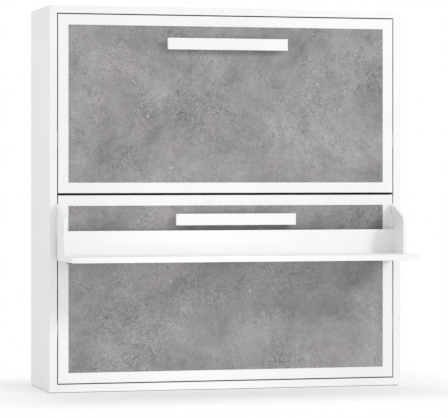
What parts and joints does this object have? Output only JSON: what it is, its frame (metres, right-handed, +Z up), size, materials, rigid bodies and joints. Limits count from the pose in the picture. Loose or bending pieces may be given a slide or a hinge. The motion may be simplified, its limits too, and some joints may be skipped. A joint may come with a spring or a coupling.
{
  "type": "wall bed with fold down desk",
  "caption": "Tall cabinet with two horizontally folding single wall beds, one above the other, and a self-levelling desk hung on the lower bed's door.",
  "frame": {"origin": "on the floor below the middle of the overall box", "axes": "+Z up, -Y towards the user, +X to the user's right, so +Y points at the wall"},
  "size_m": [2.064, 1.03, 2.17],
  "materials": {
    "white_laminate": "smooth matt white melamine on board",
    "concrete_laminate": "matt cloudy concrete-effect laminate",
    "white_paint": "white powder coat",
    "frame_paint": "grey powder coat",
    "steel": "zinc-plated steel",
    "strut_paint": "satin black paint",
    "black_plastic": "moulded plastic",
    "rubber": "matt rubber",
    "beech": "lacquered beech plywood",
    "mattress_fabric": "quilted ticking",
    "webbing": "woven polyester webbing"
  },
  "bodies": {
    "cabinet": {"left_side": "white_laminate", "right_side": "white_laminate", "top_panel": "white_laminate", "bottom_panel": "white_laminate", "mid_rail": "white_laminate", "wall_rail": "white_laminate", "lower_back_panel": "white_laminate", "upper_back_panel": "white_laminate", "glides": "black_plastic", "lower_pivot_brackets": "steel", "upper_pivot_brackets": "steel", "strut_brackets": "steel", "bed_stops": "rubber", "magnet_catches": "black_plastic"},
    "lower_bed": {"lower_door_board": "white_laminate", "lower_door_rails": "white_laminate", "lower_door_stiles": "white_laminate", "lower_door_panel": "concrete_laminate", "lower_handle": "white_laminate", "lower_handle_spacers": "white_laminate", "lower_frame_rails": "frame_paint", "lower_frame_ends": "frame_paint", "lower_frame_cross": "frame_paint", "lower_slats": "beech", "lower_slat_caps": "black_plastic", "lower_mattress": "mattress_fabric", "lower_straps": "webbing", "lower_pivot_plates": "steel", "lower_pivot_bushes": "black_plastic", "desk_hinge_brackets": "steel"},
    "upper_bed": {"upper_door_board": "white_laminate", "upper_door_rails": "white_laminate", "upper_door_stiles": "white_laminate", "upper_door_panel": "concrete_laminate", "upper_handle": "white_laminate", "upper_handle_spacers": "white_laminate", "upper_frame_rails": "frame_paint", "upper_frame_ends": "frame_paint", "upper_frame_cross": "frame_paint", "upper_slats": "beech", "upper_slat_caps": "black_plastic", "upper_mattress": "mattress_fabric", "upper_straps": "webbing", "upper_pivot_plates": "steel", "upper_pivot_bushes": "black_plastic", "guard_brackets": "steel"},
    "guard": {"guard_posts": "frame_paint", "guard_rails": "frame_paint"},
    "desk": {"desk_board": "white_laminate", "desk_upstand": "white_laminate", "left_wing": "white_laminate", "right_wing": "white_laminate", "desk_ears": "white_paint", "desk_feet": "rubber", "desk_screws": "steel"},
    "desk_links": {"desk_links": "steel"},
    "lower_strut_tubes": {"lower_strut_tubes": "strut_paint"},
    "lower_strut_rods": {"lower_strut_rods": "steel"},
    "upper_strut_tubes": {"upper_strut_tubes": "strut_paint"},
    "upper_strut_rods": {"upper_strut_rods": "steel"}
  },
  "joints": [
    {"name": "lower_bed_fold", "type": "hinge", "parent": "cabinet", "child": "lower_bed", "pos_m": [0, -0.025, 0.3445], "axis": [1, 0, 0], "range_deg": [0, 90]},
    {"name": "desk_level", "type": "hinge", "parent": "lower_bed", "child": "desk", "pos_m": [0, -0.025, 1.0715], "axis": [1, 0, 0], "range_deg": [-90, 0]},
    {"name": "desk_link_turn", "type": "hinge", "parent": "cabinet", "child": "desk_links", "pos_m": [0, 0.025, 0.3685], "axis": [1, 0, 0], "range_deg": [0, 90]},
    {"name": "lower_strut_turn", "type": "hinge", "parent": "cabinet", "child": "lower_strut_tubes", "pos_m": [0, 0.075, 0.5615], "axis": [1, 0, 0], "range_deg": [0, 11.98]},
    {"name": "lower_strut_slide", "type": "slide", "parent": "lower_strut_tubes", "child": "lower_strut_rods", "axis": [0, 0.2655, 0.9641], "range_m": [0, 0.115]},
    {"name": "upper_bed_fold", "type": "hinge", "parent": "cabinet", "child": "upper_bed", "pos_m": [0, -0.025, 1.4105], "axis": [1, 0, 0], "range_deg": [0, 90]},
    {"name": "upper_strut_turn", "type": "hinge", "parent": "cabinet", "child": "upper_strut_tubes", "pos_m": [0, 0.075, 1.6275], "axis": [1, 0, 0], "range_deg": [0, 11.98]},
    {"name": "upper_strut_slide", "type": "slide", "parent": "upper_strut_tubes", "child": "upper_strut_rods", "axis": [0, 0.2655, 0.9641], "range_m": [0, 0.115]},
    {"name": "guard_fold", "type": "hinge", "parent": "upper_bed", "child": "guard", "pos_m": [0, 0.1755, 2.0645], "axis": [1, 0, 0], "range_deg": [0, 90]}
  ],
  "couplings": [
    {"joint": "desk_level", "follows": "lower_bed_fold", "ratio": -1},
    {"joint": "desk_link_turn", "follows": "lower_bed_fold", "ratio": 1},
    {"joint": "lower_strut_turn", "follows": "lower_bed_fold", "ratio": 0.13313},
    {"joint": "lower_strut_slide", "follows": "lower_bed_fold", "m_per_rad": 0.073209},
    {"joint": "upper_strut_turn", "follows": "upper_bed_fold", "ratio": 0.13313},
    {"joint": "upper_strut_slide", "follows": "upper_bed_fold", "m_per_rad": 0.073209}
  ]
}
